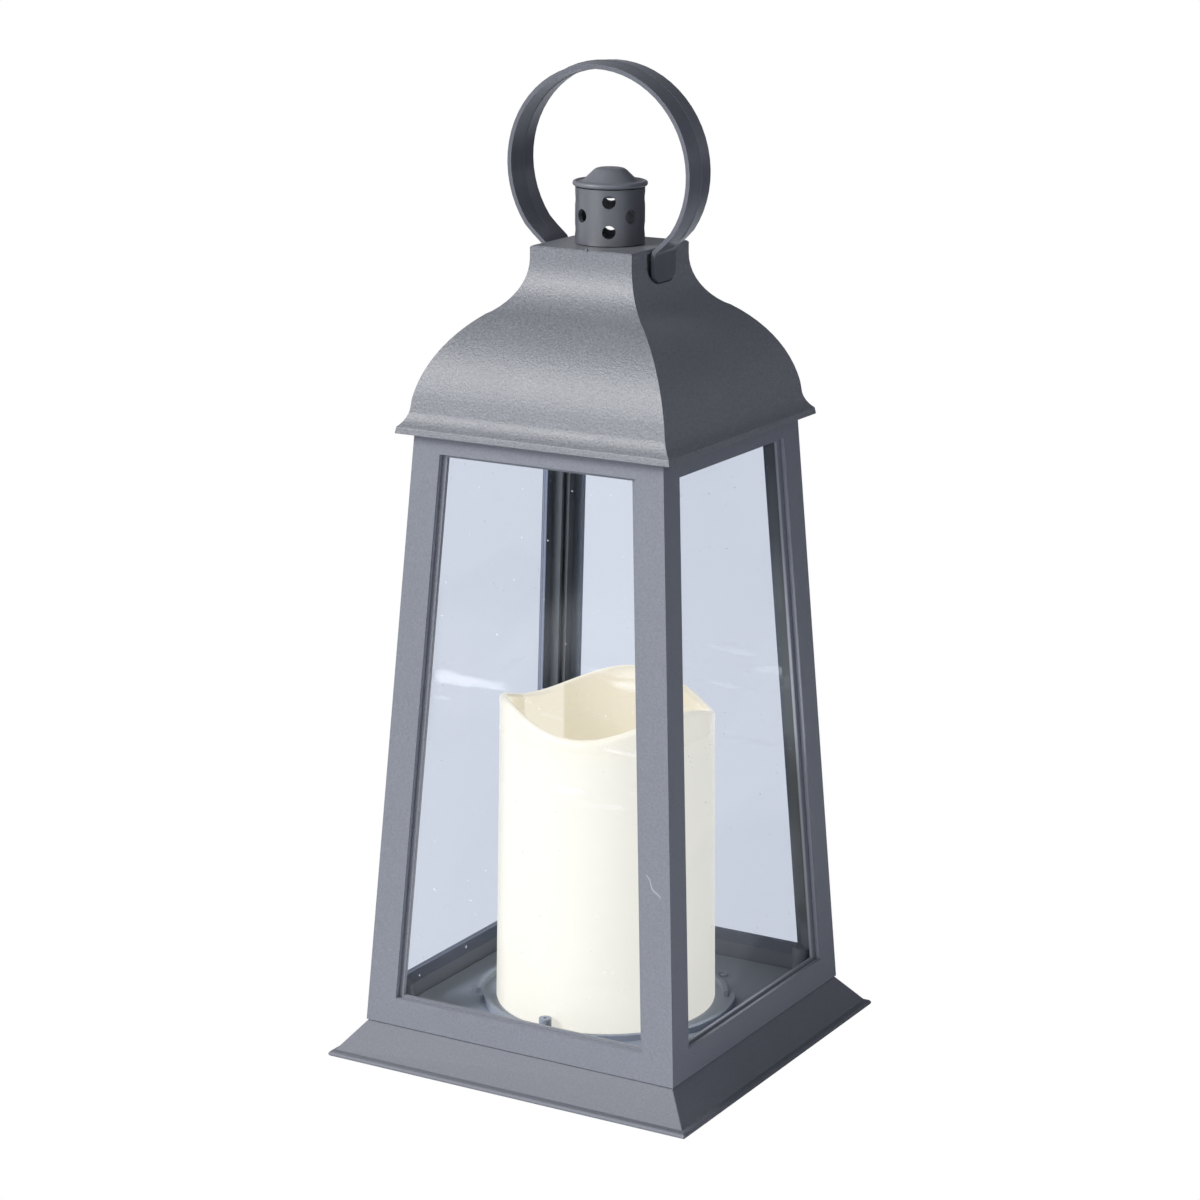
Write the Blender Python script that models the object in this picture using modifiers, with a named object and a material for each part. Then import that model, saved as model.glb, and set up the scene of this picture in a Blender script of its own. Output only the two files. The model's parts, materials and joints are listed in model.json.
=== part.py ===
"""Candle lantern: a moulded square lantern with clear panes, a belled roof and a fixed LED candle.

Metres, +Z up. The origin is the centre of the base's underside, the front face is towards -Y.
"""
import math

import bmesh
import bpy
from mathutils import Matrix, Vector

MM = 0.001
GAP = 0.3 * MM                    # clearance between touching pieces

# Base
BASE_HALF = 69.0 * MM             # half width over the beaded rim
BEAD_HEIGHT = 1.6 * MM
SKIRT_FOOT_HALF = 67.1 * MM
SKIRT_TOP_HALF = 59.1 * MM
SKIRT_TOP_Z = 11.75 * MM
FLOOR_Z = 12.5 * MM               # upper face of the floor
FLOOR_THICKNESS = 2.5 * MM
FLOOR_HALF = 55.7 * MM            # the floor's plug, inside the frame
BASE_WALL = 2.2 * MM
FLOOR_HOLE_RADIUS = 33.0 * MM
COLLAR_WIDTH = 1.7 * MM
COLLAR_INNER_RADIUS = 40.7 * MM
COLLAR_OUTER_RADIUS = 43.2 * MM
COLLAR_HEIGHT = 2.0 * MM
BOSS_RADIUS = 2.15 * MM
BOSS_TOP_Z = 18.0 * MM
BOSS_DISTANCE = 40.6 * MM         # from the lantern's axis
RING_MARK_ANGLE = 146.0           # a low ring on the floor, beside the back collar
RING_MARK_DISTANCE = 45.4 * MM

# Body frame, tapered from bottom to top
FRAME_BOTTOM_Z = 12.1 * MM
FRAME_BOTTOM_HALF = 59.46 * MM
FRAME_EAVE_Z = 212.7 * MM
FRAME_EAVE_HALF = 46.7 * MM
FRAME_TOP_Z = 219.0 * MM          # hidden under the roof
FRAME_WALL = 3.2 * MM
WINDOW_BOTTOM_Z = 21.7 * MM
WINDOW_TOP_Z = 208.2 * MM
WINDOW_BOTTOM_HALF = 47.9 * MM
WINDOW_TOP_HALF = 36.55 * MM
REVEAL_DEPTH = 1.9 * MM           # depth of the outer step of the window
REVEAL_LEDGE = 1.9 * MM           # its width on the sides
REVEAL_SILL = 0.9 * MM            # its width at the top and the bottom
GUIDE_OFFSET = 8.5 * MM           # pane guides, in from the frame's corner faces
GUIDE_THICKNESS = 1.2 * MM
GUIDE_DEPTH = 4.0 * MM
SCREW_POST_RADIUS = 3.6 * MM
SCREW_POST_TOP_Z = 24.0 * MM
SCREW_POST_OFFSET = 50.5 * MM

# Panes
PANE_THICKNESS = 1.2 * MM
PANE_LAP_BELOW = 2.6 * MM
PANE_SIDE_INSET = 9.6 * MM        # from the frame's corner to the pane's edge

# Roof
EAVE_Z = 214.4 * MM
EAVE_HALF = 51.3 * MM
FASCIA_TOP_Z = 216.5 * MM
FASCIA_TOP_HALF = 50.95 * MM
NECK_HALF = 19.1 * MM
ROOF_TOP_Z = 274.75 * MM
ROOF_WALL = 2.0 * MM
TOP_HOLE_RADIUS = 10.0 * MM

# Chimney
TUBE_RADIUS = 11.5 * MM
TUBE_WALL = 1.4 * MM
TUBE_TOP_Z = 293.3 * MM
VENT_RADIUS = 2.25 * MM
VENT_LEVELS = (279.6 * MM, 284.5 * MM, 289.4 * MM)
VENT_PAIR_ANGLE = 28.0            # degrees from the front towards the right
VENT_SINGLE_ANGLE = 66.5
CAP_RADIUS = 12.4 * MM
CAP_TOP_Z = 299.5 * MM

# Ring handle
PIVOT_Z = 266.0 * MM
RING_RADIUS = 34.2 * MM           # outside, at the band's edges
RING_CENTRE_Z = 299.8 * MM
BAND_THICKNESS = 1.45 * MM
BAND_HALF_WIDTH = 7.1 * MM
BAND_CREST = 0.55 * MM
TAB_FACE = NECK_HALF + 1.5 * GAP  # inner face of each end tab
TAB_TOP_Z = 272.6 * MM            # where each tab starts to bend outwards
TAB_DROP = 2.2 * MM               # from the pivot down to the tab's end
TAB_CORNER = 3.8 * MM
PEG_RADIUS = 1.5 * MM
PEG_REACH = 3.2 * MM
SLOT_HALF_WIDTH = 9.3 * MM
SLOT_SILL_Z = 263.25 * MM         # its sill limits how far the ring can lean
SLOT_CORNER = 6.0 * MM
RING_LEAN = 2.5                   # degrees towards the front, as it rests
SLOT_DEPTH = 1.2 * MM

# Candle
CANDLE_RADIUS = 37.8 * MM
CANDLE_INNER_RADIUS = 33.8 * MM
CANDLE_FOOT_Z = FLOOR_Z + GAP
CANDLE_RIM_Z = 118.3 * MM
RIM_WAVE = 3.6 * MM
RIM_WAVE_PEAK = -17.0             # degrees, polar angle of one of the three crests
WELL_Z = 86.0 * MM
WELL_THICKNESS = 1.6 * MM
BOARD_Z = 80.0 * MM
BOARD_RADIUS = 12.0 * MM
BOARD_THICKNESS = 1.6 * MM
FLAME_TOP_Z = 103.0 * MM

# Battery tray
TRAY_RADIUS = 32.4 * MM
TRAY_TOP_Z = 25.6 * MM
FLANGE_RADIUS = 44.5 * MM
FLANGE_BOTTOM_Z = 8.0 * MM
FLANGE_TOP_Z = FLOOR_Z - FLOOR_THICKNESS - GAP
BAY_HALF_LENGTH = 25.3 * MM
BAY_HALF_WIDTH = 17.4 * MM
BAY_TOP_Z = 24.0 * MM
CELL_RADIUS = 5.25 * MM
CELL_LENGTH = 44.5 * MM
CELL_PITCH = 11.2 * MM
CELL_Z = 17.0 * MM
CELL_SHIFT = 1.2 * MM             # room for the spring at the cell's flat end
DOOR_HALF_LENGTH = 27.0 * MM
DOOR_HALF_WIDTH = 18.8 * MM
DOOR_TOP_Z = FLANGE_BOTTOM_Z - GAP
DOOR_THICKNESS = 1.6 * MM
DOOR_TRAVEL = 12.0 * MM           # slid this far, the cover drops clear of the lips
RAIL_END_X = 38.0 * MM
LIP_STARTS = (-24.0 * MM, 4.0 * MM)
LIP_LENGTH = 8.0 * MM
LIP_WIDTH = 1.7 * MM
SWITCH_Y = -25.0 * MM
KNOB_START_X = -2.0 * MM
KNOB_TRAVEL = 4.0 * MM

ROUND_STEPS = 40


def polar(angle_degrees, radius, z=0.0):
    """A point at an angle from the front (-Y) towards the right (+X)."""
    angle = math.radians(angle_degrees)
    return Vector((radius * math.sin(angle), -radius * math.cos(angle), z))


def clear_scene():
    for item in list(bpy.data.objects):
        bpy.data.objects.remove(item, do_unlink=True)


def new_collection(name):
    collection = bpy.data.collections.new(name)
    bpy.context.scene.collection.children.link(collection)
    return collection


def new_material(name, colour, roughness, metallic=0.0, alpha=1.0):
    material = bpy.data.materials.new(name)
    material.use_nodes = True
    shader = material.node_tree.nodes["Principled BSDF"]
    shader.inputs["Base Color"].default_value = (*colour, 1.0)
    shader.inputs["Roughness"].default_value = roughness
    shader.inputs["Metallic"].default_value = metallic
    shader.inputs["Alpha"].default_value = alpha
    material.diffuse_color = (*colour, alpha)
    return material


clear_scene()
PARTS = new_collection("candle_lantern")
CUTTERS = new_collection("cutters")
BASE_GREY = new_material("base_grey", (0.235, 0.245, 0.285), 0.55)
FRAME_GREY = new_material("frame_grey", (0.245, 0.265, 0.305), 0.5)
ROOF_GREY = new_material("roof_grey", (0.27, 0.28, 0.31), 0.5)
HANDLE_GREY = new_material("handle_grey", (0.25, 0.26, 0.30), 0.45)
CLEAR = new_material("clear_pane", (0.80, 0.85, 0.93), 0.08, alpha=0.3)
IVORY = new_material("ivory_shell", (0.93, 0.88, 0.74), 0.4)
WHITE = new_material("white_moulding", (0.80, 0.79, 0.74), 0.45)
FLAME = new_material("flame_diffuser", (0.95, 0.72, 0.38), 0.3, alpha=0.9)
LAMP = new_material("lamp_amber", (0.95, 0.78, 0.45), 0.15)
BOARD = new_material("board_green", (0.05, 0.25, 0.12), 0.5)
CELL = new_material("cell_jacket", (0.10, 0.20, 0.36), 0.35)
NICKEL = new_material("nickel", (0.70, 0.70, 0.68), 0.25, metallic=1.0)
BLACK = new_material("black_moulding", (0.03, 0.03, 0.035), 0.5)
ZINC = new_material("zinc_screw", (0.62, 0.62, 0.60), 0.35, metallic=1.0)
RED_LEAD = new_material("red_lead", (0.55, 0.04, 0.04), 0.45)
BLACK_LEAD = new_material("black_lead", (0.03, 0.03, 0.03), 0.45)


def place(item, material, cutter):
    """Put an object in its collection, with its material or as a cutter."""
    (CUTTERS if cutter else PARTS).objects.link(item)
    if cutter:
        item.hide_render = True
        item.display_type = "WIRE"
    else:
        item.data.materials.append(material)
    return item


def from_bmesh(name, mesh_builder, material=None):
    """A finished bmesh becomes an object; with no material it is a cutter."""
    bmesh.ops.recalc_face_normals(mesh_builder, faces=mesh_builder.faces)
    mesh = bpy.data.meshes.new(name)
    mesh_builder.to_mesh(mesh)
    mesh_builder.free()
    return place(bpy.data.objects.new(name, mesh), material, material is None)


def smooth(item, angle=35.0):
    item.data.shade_smooth()
    item.data.set_sharp_from_angle(angle=math.radians(angle))
    return item


def block(name, low, high, material=None):
    """A box between two corners."""
    low, high = Vector(low), Vector(high)
    shape = bmesh.new()
    size = Matrix.Diagonal((*(high - low), 1.0))
    bmesh.ops.create_cube(shape, size=1.0, matrix=Matrix.Translation((low + high) / 2) @ size)
    return from_bmesh(name, shape, material)


def rod(name, start, end, radius, material=None, segments=16, end_radius=None):
    """A cylinder or cone between two points."""
    start, end = Vector(start), Vector(end)
    turn = (end - start).to_track_quat("Z", "Y").to_matrix().to_4x4()
    shape = bmesh.new()
    bmesh.ops.create_cone(shape, cap_ends=True, segments=segments, radius1=radius,
                          radius2=radius if end_radius is None else end_radius,
                          depth=(end - start).length,
                          matrix=Matrix.Translation((start + end) / 2) @ turn)
    item = from_bmesh(name, shape, material)
    return smooth(item)


def turned(name, profile, material=None, steps=ROUND_STEPS, closed=False, origin=(0, 0, 0)):
    """A (radius, z) profile, top to bottom down its outer side, turned about the vertical axis."""
    mesh = bpy.data.meshes.new(name)
    points = [(radius, 0.0, z) for radius, z in profile]
    edges = [(i, i + 1) for i in range(len(points) - 1)]
    if closed:
        edges.append((len(points) - 1, 0))
    mesh.from_pydata(points, edges, [])
    item = place(bpy.data.objects.new(name, mesh), material, material is None)
    item.location = origin
    screw = item.modifiers.new("turn", "SCREW")
    screw.steps = screw.render_steps = steps
    screw.use_merge_vertices = True
    screw.merge_threshold = 0.00001
    screw.use_smooth_shade = steps > 4
    return item


def square_turned(name, profile, material=None, closed=False):
    """A (half width, z) profile carried round a square plan with sharp arrises."""
    corner = [(half * math.sqrt(2), z) for half, z in profile]
    item = turned(name, corner, material, steps=4, closed=closed)
    item.rotation_euler.z = math.radians(45)
    return item


def boolean(item, other, operation):
    modifier = item.modifiers.new(operation.lower(), "BOOLEAN")
    modifier.object = other
    modifier.operation = operation
    modifier.solver = "EXACT"
    return item


def cut(item, *tools):
    for tool in tools:
        boolean(item, tool, "DIFFERENCE")
    return item


def join(item, *tools):
    for tool in tools:
        boolean(item, tool, "UNION")
    return item


def baked(item, name=None):
    """The evaluated mesh of an object as a mesh object of its own; the first object is removed."""
    bpy.context.view_layer.update()
    evaluated = item.evaluated_get(bpy.context.evaluated_depsgraph_get())
    mesh = bpy.data.meshes.new_from_object(evaluated)
    shape = bmesh.new()
    shape.from_mesh(mesh)
    bmesh.ops.remove_doubles(shape, verts=shape.verts, dist=0.00001)
    bmesh.ops.recalc_face_normals(shape, faces=shape.faces)
    shape.to_mesh(mesh)
    shape.free()
    home = item.users_collection[0]
    result = bpy.data.objects.new(name or item.name, mesh)
    result.matrix_world = item.matrix_world
    final_name = name or item.name
    bpy.data.objects.remove(item, do_unlink=True)
    result.name = final_name
    home.objects.link(result)
    if home == CUTTERS:
        result.hide_render = True
        result.display_type = "WIRE"
    return result


def arc(centre, radius, start, end, steps):
    """Points on an arc of a profile; angles in degrees from +X, counter-clockwise."""
    return [(centre[0] + radius * math.cos(math.radians(start + (end - start) * i / steps)),
             centre[1] + radius * math.sin(math.radians(start + (end - start) * i / steps)))
            for i in range(steps + 1)]


def arc_rib(name, inner, outer, low, high, start, end, material=None):
    """A low curved wall round the lantern's axis, between two angles from the front."""
    shape = bmesh.new()
    corners = [polar(start, radius, z) for radius, z in
               ((inner, low), (outer, low), (outer, high), (inner, high))]
    face = shape.faces.new([shape.verts.new(corner) for corner in corners])
    steps = max(3, round(abs(end - start) / 7))
    bmesh.ops.spin(shape, geom=[face, *face.edges, *face.verts], axis=(0, 0, 1), cent=(0, 0, 0),
                   angle=math.radians(end - start), steps=steps)
    return from_bmesh(name, shape, material)


def tapered_block(name, bottom, top, material=None):
    """A block whose four bottom corners and four top corners are given as (x0, x1, y0, y1, z)."""
    shape = bmesh.new()
    bmesh.ops.create_cube(shape, size=1.0)
    for vertex in shape.verts:
        x0, x1, y0, y1, z = top if vertex.co.z > 0 else bottom
        vertex.co = (x1 if vertex.co.x > 0 else x0, y1 if vertex.co.y > 0 else y0, z)
    return from_bmesh(name, shape, material)


# ---------------------------------------------------------------- base

def base_skirt():
    """Flared, beaded base with its floor, candle collar and hollow screw bosses."""
    under_z = FLOOR_Z - FLOOR_THICKNESS
    profile = [(0.0, FLOOR_Z), (FLOOR_HALF, FLOOR_Z), (FLOOR_HALF, SKIRT_TOP_Z),
               (SKIRT_TOP_HALF, SKIRT_TOP_Z), (SKIRT_FOOT_HALF, BEAD_HEIGHT + 0.5 * MM),
               (BASE_HALF - 0.5 * MM, BEAD_HEIGHT), (BASE_HALF, BEAD_HEIGHT - 0.5 * MM),
               (BASE_HALF, 0.4 * MM), (BASE_HALF - 0.4 * MM, 0.0),
               (SKIRT_FOOT_HALF - 0.8 * MM, 0.0),
               (SKIRT_TOP_HALF - 0.4 * MM, under_z - 1.2 * MM),
               (SKIRT_TOP_HALF - BASE_WALL, under_z), (0.0, under_z)]
    base = square_turned("base_skirt", profile, BASE_GREY)
    ribs = []
    for turn in (0, 180):
        for key, inner, start, end in (("wide", COLLAR_OUTER_RADIUS, 68, 118),
                                       ("near", COLLAR_INNER_RADIUS, -60, 67)):
            ribs.append(arc_rib(f"cutter_collar_{key}_{turn}", inner, inner + COLLAR_WIDTH,
                                FLOOR_Z - 0.5 * MM, FLOOR_Z + COLLAR_HEIGHT, start + turn, end + turn))
    join(base, *ribs)
    for turn in (0, 180):
        join(base, rod(f"cutter_boss_{turn}", polar(turn, BOSS_DISTANCE, FLOOR_Z - 0.4 * MM),
                       polar(turn, BOSS_DISTANCE, BOSS_TOP_Z), BOSS_RADIUS))
    join(base, rod("cutter_ring_mark", polar(RING_MARK_ANGLE, RING_MARK_DISTANCE, FLOOR_Z - 0.4 * MM),
                   polar(RING_MARK_ANGLE, RING_MARK_DISTANCE, FLOOR_Z + 0.9 * MM), 2.1 * MM, segments=18))
    tools = [rod("cutter_floor_hole", (0, 0, 0), (0, 0, FLOOR_Z + 5 * MM), FLOOR_HOLE_RADIUS,
                 segments=ROUND_STEPS),
             rod("cutter_ring_mark_eye", polar(RING_MARK_ANGLE, RING_MARK_DISTANCE, FLOOR_Z + 0.2 * MM),
                 polar(RING_MARK_ANGLE, RING_MARK_DISTANCE, FLOOR_Z + 3 * MM), 1.3 * MM, segments=14)]
    for turn in (0, 180):
        tools.append(rod(f"cutter_boss_bore_{turn}", polar(turn, BOSS_DISTANCE, 9 * MM),
                         polar(turn, BOSS_DISTANCE, 15.6 * MM), 1.4 * MM, segments=12))
        tools.append(rod(f"cutter_boss_eye_{turn}", polar(turn, BOSS_DISTANCE, 15 * MM),
                         polar(turn, BOSS_DISTANCE, BOSS_TOP_Z + MM), 0.7 * MM, segments=12))
    for i, (sx, sy) in enumerate(CORNERS):
        x, y = sx * SCREW_POST_OFFSET, sy * SCREW_POST_OFFSET
        tools.append(rod(f"cutter_floor_screw_{i}", (x, y, 0), (x, y, FLOOR_Z + MM), 1.5 * MM, segments=12))
    return cut(base, *tools)


CORNERS = ((1, -1), (1, 1), (-1, 1), (-1, -1))


# ---------------------------------------------------------------- frame and panes

def frame_half(z):
    """Half width of the frame's outside at a height."""
    slope = (FRAME_BOTTOM_HALF - FRAME_EAVE_HALF) / (FRAME_EAVE_Z - FRAME_BOTTOM_Z)
    return FRAME_BOTTOM_HALF - slope * (z - FRAME_BOTTOM_Z)


FACE_TILT = math.atan((FRAME_BOTTOM_HALF - FRAME_EAVE_HALF) / (FRAME_EAVE_Z - FRAME_BOTTOM_Z))


def face_matrix(side):
    """Local frame of a sloping face: x across, y inwards, z up the slope from z = 0."""
    return (Matrix.Rotation(math.radians(90 * side), 4, "Z")
            @ Matrix.Translation((0, -frame_half(0.0), 0)) @ Matrix.Rotation(-FACE_TILT, 4, "X"))


def face_slab(name, side, bottom_half, top_half, bottom_z, top_z, depth_from, depth_to, material=None):
    """A trapezoid plate parallel to a sloping face; heights are world heights on the face."""
    rise = 1 / math.cos(FACE_TILT)
    item = tapered_block(name, (-bottom_half, bottom_half, depth_from, depth_to, bottom_z * rise),
                         (-top_half, top_half, depth_from, depth_to, top_z * rise), material)
    item.matrix_world = face_matrix(side)
    return item


def body_frame():
    """One-piece tapered frame with four stepped windows, pane guides and screw posts."""
    wall = FRAME_WALL / math.cos(FACE_TILT)
    top, bottom = frame_half(FRAME_TOP_Z), FRAME_BOTTOM_HALF
    profile = [(top, FRAME_TOP_Z), (bottom, FRAME_BOTTOM_Z), (bottom - wall, FRAME_BOTTOM_Z),
               (top - wall, FRAME_TOP_Z)]
    frame = square_turned("body_frame", profile, FRAME_GREY, closed=True)
    for i, (sx, sy) in enumerate(CORNERS):
        guides = []
        for key in ("front", "side"):
            ends = []
            for z in (CANDLE_FOOT_Z, FRAME_TOP_Z - MM):
                half = frame_half(z)
                across = sorted((half - GUIDE_OFFSET + s * GUIDE_THICKNESS / 2) for s in (-1, 1))
                deep = sorted((half - wall + 0.5 * MM, half - wall - GUIDE_DEPTH))
                if key == "side":
                    across, deep = deep, across
                ends.append((*sorted(sx * v for v in across), *sorted(sy * v for v in deep), z))
            guides.append(tapered_block(f"cutter_guide_{key}_{i}", *ends))
        x, y = sx * SCREW_POST_OFFSET, sy * SCREW_POST_OFFSET
        post = rod(f"cutter_post_{i}", (x, y, CANDLE_FOOT_Z), (x, y, SCREW_POST_TOP_Z), SCREW_POST_RADIUS)
        bore = rod(f"cutter_post_bore_{i}", (x, y, 0), (x, y, SCREW_POST_TOP_Z - 1.5 * MM), 1.5 * MM,
                   segments=12)
        join(frame, *guides, post)
        cut(frame, bore)
    for side in range(4):
        outer = face_slab(f"cutter_window_outer_{side}", side, WINDOW_BOTTOM_HALF, WINDOW_TOP_HALF,
                          WINDOW_BOTTOM_Z, WINDOW_TOP_Z, -5 * MM, REVEAL_DEPTH)
        inner = face_slab(f"cutter_window_inner_{side}", side, WINDOW_BOTTOM_HALF - REVEAL_LEDGE,
                          WINDOW_TOP_HALF - REVEAL_LEDGE, WINDOW_BOTTOM_Z + REVEAL_SILL,
                          WINDOW_TOP_Z - REVEAL_SILL, -5 * MM, FRAME_WALL + MM)
        cut(frame, outer, inner)
    return frame


def panes():
    """Four clear sheets that stand behind the windows, between the guides."""
    near = FRAME_WALL + GAP
    low, high = WINDOW_BOTTOM_Z - PANE_LAP_BELOW, WINDOW_TOP_Z + PANE_LAP_BELOW
    for side, name in enumerate(("pane_front", "pane_right", "pane_back", "pane_left")):
        face_slab(name, side, frame_half(low) - PANE_SIDE_INSET, frame_half(high) - PANE_SIDE_INSET,
                  low, high, near, near + PANE_THICKNESS, CLEAR)


# ---------------------------------------------------------------- roof, chimney and handle

def roof_outline():
    """Outside of the roof from its centre down to the eaves, as half widths and heights."""
    neck = arc((NECK_HALF + 20.9 * MM, 270.8 * MM), 20.9 * MM, 180, 235, 9)
    belly = arc((28.9 * MM - 45 * MM * math.cos(math.radians(55)),
                 253.3 * MM - 45 * MM * math.sin(math.radians(55))), 45 * MM, 54, 12, 11)
    flare_radius = 10.0 * MM
    flare = arc((FASCIA_TOP_HALF + flare_radius * math.cos(math.radians(50)),
                 FASCIA_TOP_Z + flare_radius * math.sin(math.radians(50))), flare_radius, 186, 230, 6)
    return [*neck, *belly, *flare[1:], (EAVE_HALF, EAVE_Z)]


def offset_inwards(points, distance):
    """A profile moved towards the roof's inside by the wall's thickness."""
    moved = []
    for i, (half, z) in enumerate(points):
        before, after = points[max(i - 1, 0)], points[min(i + 1, len(points) - 1)]
        along = Vector((after[0] - before[0], after[1] - before[1])).normalized()
        moved.append((half + along.y * distance, z - along.x * distance))
    return moved


def roof():
    """Belled roof shell, open below, with the chimney's hole and the handle's recesses."""
    outside = roof_outline()
    within = offset_inwards(outside, ROOF_WALL)
    within[-1] = (EAVE_HALF - ROOF_WALL, EAVE_Z)
    top = [(0.0, ROOF_TOP_Z), (NECK_HALF - 0.5 * MM, ROOF_TOP_Z), (NECK_HALF, ROOF_TOP_Z - 0.5 * MM)]
    ceiling = [(NECK_HALF - ROOF_WALL, ROOF_TOP_Z - ROOF_WALL), (0.0, ROOF_TOP_Z - ROOF_WALL)]
    shell = square_turned("roof", top + outside + within[::-1] + ceiling, ROOF_GREY)
    inside = NECK_HALF - ROOF_WALL
    for sx in (1, -1):
        pad = block(f"cutter_pad_{sx}", *sorted_corners(
            (sx * (inside - 1.6 * MM), -SLOT_HALF_WIDTH - 2 * MM, SLOT_SILL_Z - 2.5 * MM),
            (sx * (inside + 0.6 * MM), SLOT_HALF_WIDTH + 2 * MM, ROOF_TOP_Z - 1.2 * MM)))
        join(shell, pad)
    tools = [rod("cutter_top_hole", (0, 0, ROOF_TOP_Z - 6 * MM), (0, 0, ROOF_TOP_Z + MM), TOP_HOLE_RADIUS,
                 segments=ROUND_STEPS)]
    for sx in (1, -1):
        tools.append(slot_cutter(f"cutter_slot_{sx}", sx))
        tools.append(rod(f"cutter_peg_hole_{sx}", (sx * (inside - 3 * MM), 0, PIVOT_Z),
                         (sx * (NECK_HALF + MM), 0, PIVOT_Z), PEG_RADIUS + GAP, segments=20))
    cut(shell, *tools)
    return shell


def slot_cutter(name, sx):
    """A recess with a round-cornered sill, cut into one side of the neck."""
    outline = [(-SLOT_HALF_WIDTH, ROOF_TOP_Z - 1.4 * MM), (SLOT_HALF_WIDTH, ROOF_TOP_Z - 1.4 * MM)]
    for side, start in ((1, 0), (-1, -90)):
        outline += arc((side * (SLOT_HALF_WIDTH - SLOT_CORNER), SLOT_SILL_Z + SLOT_CORNER), SLOT_CORNER,
                       start, start - 90, 7)
    return plate_cutter(name, outline, sx, NECK_HALF - SLOT_DEPTH, 4.5 * MM)


def plate_cutter(name, outline, sx, distance, depth):
    """A (y, z) outline pushed outwards from a plane beside the neck."""
    shape = bmesh.new()
    face = shape.faces.new([shape.verts.new((sx * distance, y, z)) for y, z in outline])
    pushed = bmesh.ops.extrude_face_region(shape, geom=[face], use_keep_orig=True)
    bmesh.ops.translate(shape, vec=(sx * depth, 0, 0),
                        verts=[v for v in pushed["geom"] if isinstance(v, bmesh.types.BMVert)])
    return from_bmesh(name, shape)


def sorted_corners(a, b):
    """The low and the high corner of a box given by any two opposite corners."""
    pairs = [sorted(pair) for pair in zip(a, b)]
    return [p[0] for p in pairs], [p[1] for p in pairs]


def chimney_tube():
    """Vented tube with a narrow spigot that passes through the roof's top."""
    foot = ROOF_TOP_Z + GAP
    inner = TUBE_RADIUS - TUBE_WALL
    spigot = TOP_HOLE_RADIUS - GAP
    profile = [(TUBE_RADIUS, TUBE_TOP_Z), (TUBE_RADIUS, foot), (spigot, foot), (spigot, foot - 4.5 * MM),
               (spigot - 1.3 * MM, foot - 4.5 * MM), (spigot - 1.3 * MM, foot + 1.2 * MM),
               (inner, foot + 1.2 * MM), (inner, TUBE_TOP_Z)]
    tube = turned("chimney_tube", profile, ROOF_GREY, closed=True)
    for column in range(8):
        paired = column % 2 == 0
        levels = (VENT_LEVELS[0], VENT_LEVELS[2]) if paired else (VENT_LEVELS[1],)
        angle = (VENT_PAIR_ANGLE if paired else VENT_SINGLE_ANGLE) + 90 * (column // 2)
        for z in levels:
            cut(tube, rod(f"cutter_vent_{column}_{round(z / MM)}", polar(angle, 5 * MM, z),
                          polar(angle, 15 * MM, z), VENT_RADIUS, segments=14))
    return tube


def chimney_cap():
    """Cap with a rolled rim and a low dome; its plug sits in the tube."""
    plug = TUBE_RADIUS - TUBE_WALL - GAP
    under = TUBE_TOP_Z + GAP
    rim = arc((CAP_RADIUS - 0.9 * MM, under + 0.9 * MM), 0.9 * MM, 110, -90, 7)
    ledge = under + 1.45 * MM
    dome = [(0.0, CAP_TOP_Z), (3.9 * MM, CAP_TOP_Z - 0.05 * MM), (4.7 * MM, CAP_TOP_Z - 0.25 * MM),
            (5.4 * MM, CAP_TOP_Z - 0.7 * MM), (8.7 * MM, ledge + 0.6 * MM), (9.2 * MM, ledge + 0.2 * MM),
            (9.8 * MM, ledge), (CAP_RADIUS - 1.6 * MM, ledge)]
    below = [(plug, under), (plug, under - 3 * MM), (plug - 1.2 * MM, under - 3 * MM),
             (plug - 1.2 * MM, under + 0.8 * MM), (3.6 * MM, CAP_TOP_Z - 1.7 * MM), (0.0, CAP_TOP_Z - 1.6 * MM)]
    return turned("chimney_cap", dome + rim + below, ROOF_GREY, steps=32)


def handle_path():
    """The band's outer edge, from the right tab's end round the hoop to the left tab's end."""
    face = TAB_FACE + BAND_THICKNESS
    foot = [(face, PIVOT_Z - TAB_DROP), (face, PIVOT_Z), (face, TAB_TOP_Z), (face + 0.4 * MM, TAB_TOP_Z + 1.3 * MM),
            (face + 1.5 * MM, TAB_TOP_Z + 2.3 * MM), (face + 3.9 * MM, TAB_TOP_Z + 4.4 * MM)]
    start = -math.degrees(math.acos((RING_CENTRE_Z - TAB_TOP_Z - 7.4 * MM) / RING_RADIUS)) + 90
    hoop = arc((0.0, RING_CENTRE_Z), RING_RADIUS, -start, 180 + start, 42)
    return foot + hoop + [(-x, z) for x, z in foot[::-1]]


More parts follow.
